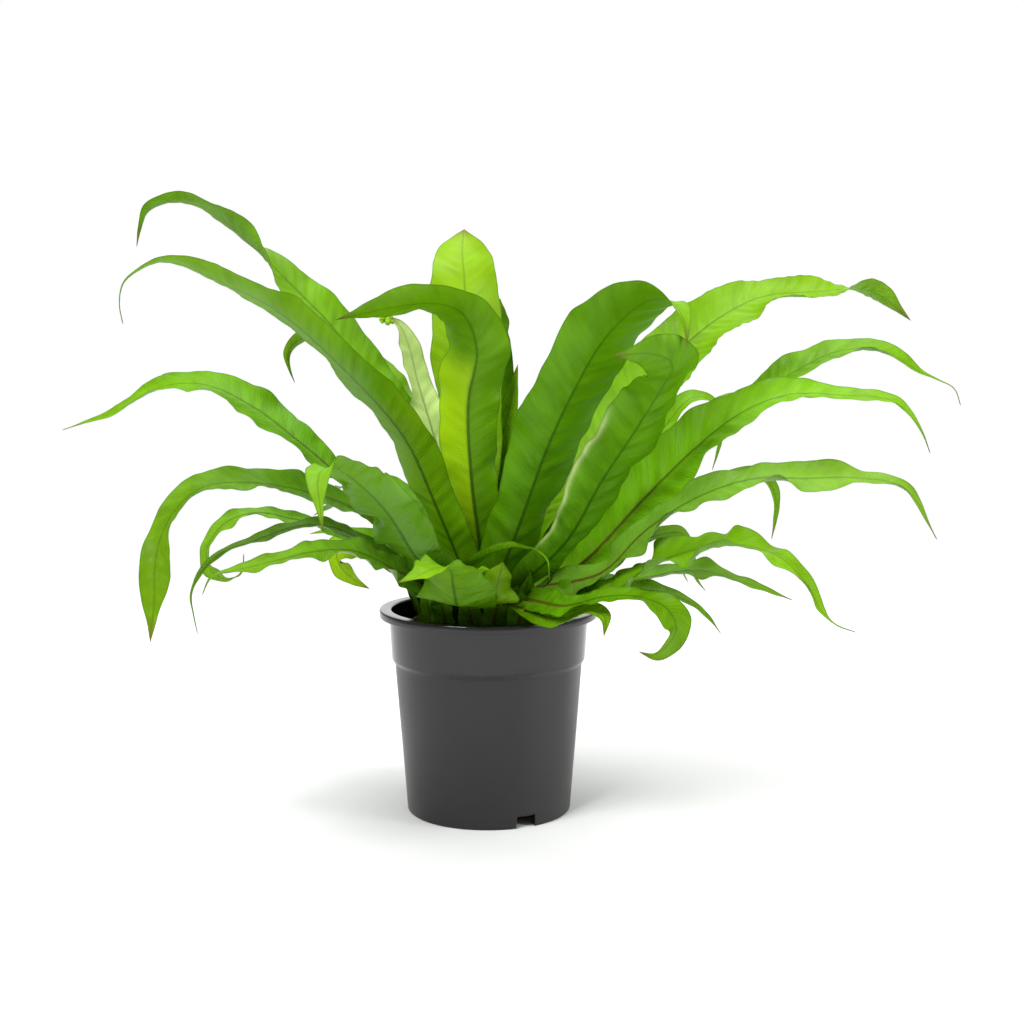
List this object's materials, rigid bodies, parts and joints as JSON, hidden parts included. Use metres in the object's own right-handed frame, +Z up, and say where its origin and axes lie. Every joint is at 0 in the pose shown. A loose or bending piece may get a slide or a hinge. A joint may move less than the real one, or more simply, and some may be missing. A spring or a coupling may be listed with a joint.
{
  "type": "potted bird's-nest fern",
  "caption": "Potted fern with long wavy strap fronds arching out of a scaly crown, in a round tapered nursery pot filled with soil; stands freely on its foot.",
  "frame": {"origin": "centre of the pot's foot, on the surface it stands on", "axes": "+Z up, +X to the plant's right, along its greatest spread; the front faces -Y"},
  "size_m": [0.701, 0.4388, 0.4781],
  "materials": {
    "pot": "thin black nursery-pot plastic, semi-gloss, lightly scuffed",
    "soil": null,
    "crown": "fibrous rhizome with dark brown papery scales",
    "frond": null
  },
  "bodies": {
    "root": {"pot": "pot", "soil": "soil", "crown": "crown", "frond_left_tall": "frond", "frond_left_long": "frond", "frond_left_wide": "frond", "frond_left_droop": "frond", "frond_left_nod": "frond", "frond_left_curl": "frond", "frond_left_thread": "frond", "frond_left_wavy": "frond", "frond_left_low": "frond", "frond_left_short": "frond", "frond_left_arch": "frond", "frond_centre_tall": "frond", "frond_centre_bent": "frond", "frond_centre_crozier": "frond", "frond_centre_dark": "frond", "frond_right_broad": "frond", "frond_right_folded": "frond", "frond_right_pleated": "frond", "frond_right_high": "frond", "frond_right_arch": "frond", "frond_right_glossy": "frond", "frond_right_low": "frond", "frond_right_lower": "frond", "frond_right_curl": "frond", "frond_right_short": "frond", "frond_right_yellow": "frond", "frond_right_grey": "frond", "frond_right_tip": "frond", "frond_right_behind": "frond", "frond_front_fold": "frond", "frond_front_curl": "frond", "frond_front_stub": "frond", "frond_front_hang": "frond", "frond_back_upright": "frond", "frond_back_tall_left": "frond", "frond_back_tall_right": "frond", "frond_back_mid_left": "frond", "frond_back_mid": "frond", "frond_back_mid_right": "frond", "frond_back_side_right": "frond", "frond_back_low_left": "frond", "frond_back_low_mid_left": "frond", "frond_back_low_mid": "frond", "frond_back_low_right": "frond", "frond_back_low_far_right": "frond"}
  },
  "joints": []
}
